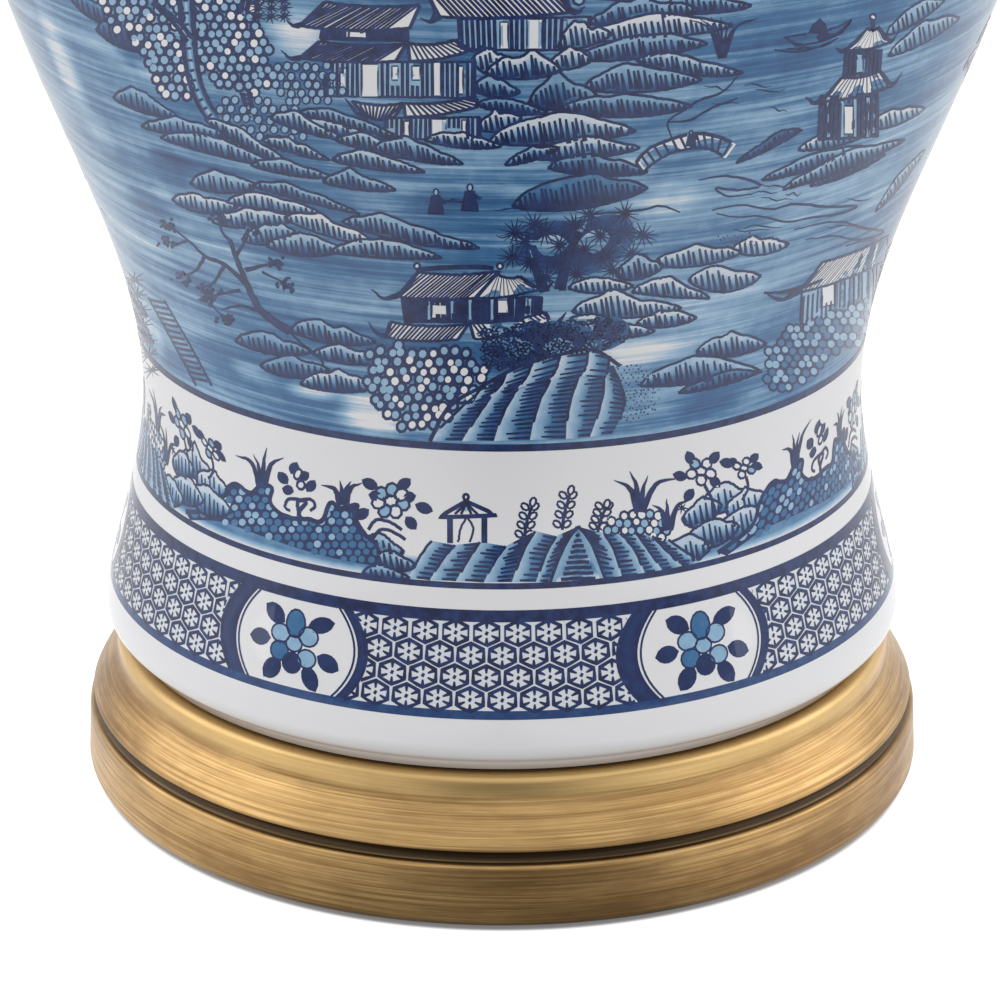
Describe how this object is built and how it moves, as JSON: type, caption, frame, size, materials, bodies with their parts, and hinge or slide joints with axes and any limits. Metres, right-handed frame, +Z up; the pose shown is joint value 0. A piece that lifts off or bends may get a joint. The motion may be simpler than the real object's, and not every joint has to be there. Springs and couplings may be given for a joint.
{
  "type": "ginger jar table lamp",
  "caption": "Table lamp with a waisted ceramic ginger jar printed with a blue landscape, on a stepped brass base, with socket, harp, finial and tapered shade.",
  "frame": {"origin": "on the table under the middle of the lamp", "axes": "+Z up along the lamp's own axis, front of the lamp towards -Y, harp in the X-Z plane, cord inlet towards +Y"},
  "size_m": [0.4073, 0.4074, 0.7064],
  "materials": {
    "felt": "pressed wool felt, matt black",
    "antique_brass": "spun and turned brass, brushed round, browned with age in patches and grooves, lacquered",
    "antique_brass_small": "turned brass nut, dull",
    "cast_iron": "rough casting, black",
    "black_rubber": "soft black rubber",
    "zinc_steel": "zinc plated steel",
    "printed_glaze": "white glaze over a cobalt blue landscape print, glossy",
    "harp_brass": "brass plated steel wire and strip, satin",
    "socket_brass": "thin drawn brass, satin",
    "liner_card": "pressed card",
    "black_moulding": "moulded phenolic",
    "terminal_brass": "bright brass",
    "shell_aluminium": "drawn aluminium",
    "black_key": "moulded, polished",
    "bulb_metal": "rolled thread, satin",
    "bulb_black_glass": "black glass",
    "frosted_glass": "white frosted inside",
    "linen": "off-white linen, plain weave",
    "shade_film": "white styrene film",
    "white_wire": "white powder coat",
    "linen_trim": "folded linen tape"
  },
  "bodies": {
    "stand": {"base_felt": "felt", "base_shell": "antique_brass", "base_weight": "cast_iron", "cord_bushing": "black_rubber", "base_washer": "zinc_steel", "base_nut": "antique_brass_small", "threaded_rod": "zinc_steel", "foot_gasket": "black_rubber", "jar_body": "printed_glaze", "cap_gasket": "black_rubber", "vase_cap": "antique_brass", "check_ring": "antique_brass", "neck_spool": "antique_brass", "neck_locknut": "antique_brass_small", "harp_saddle": "harp_brass", "harp_bow": "harp_brass", "socket_cap": "socket_brass", "cap_set_screw": "zinc_steel", "socket_shell": "socket_brass", "socket_liner": "liner_card", "socket_insulator": "black_moulding", "terminal_screws": "terminal_brass", "screw_shell": "shell_aluminium", "centre_contact": "terminal_brass"},
    "switch": {"switch_stem": "zinc_steel", "switch_key": "black_key"},
    "bulb": {"bulb_tip": "bulb_metal", "bulb_seat": "bulb_black_glass", "bulb_cap": "bulb_metal", "bulb_glass": "frosted_glass"},
    "shade": {"harp_stud": "harp_brass", "shade_cloth": "linen", "shade_backing": "shade_film", "shade_fitter": "white_wire", "shade_bottom_ring": "white_wire", "shade_top_trim": "linen_trim", "shade_bottom_trim": "linen_trim"},
    "finial": {"finial": "antique_brass"},
    "ferrule_left": {"harp_ferrule_left": "harp_brass"},
    "ferrule_right": {"harp_ferrule_right": "harp_brass"}
  },
  "joints": [
    {"name": "switch_turn", "type": "hinge", "parent": "stand", "child": "switch", "pos_m": [0, -0.03, 0.468], "axis": [0, -1, 0], "continuous": true},
    {"name": "bulb_turn", "type": "hinge", "parent": "stand", "child": "bulb", "pos_m": [0, 0, 0.5], "axis": [0, 0, 1], "range_deg": [0, 900]},
    {"name": "shade_turn", "type": "hinge", "parent": "stand", "child": "shade", "pos_m": [0, 0, 0.6644], "axis": [0, 0, 1], "continuous": true},
    {"name": "finial_turn", "type": "hinge", "parent": "shade", "child": "finial", "pos_m": [0, 0, 0.6684], "axis": [0, 0, 1], "continuous": true},
    {"name": "ferrule_left_lift", "type": "slide", "parent": "stand", "child": "ferrule_left", "axis": [0, 0, 1], "range_m": [0, 0.0125]},
    {"name": "ferrule_right_lift", "type": "slide", "parent": "stand", "child": "ferrule_right", "axis": [0, 0, 1], "range_m": [0, 0.0125]}
  ]
}
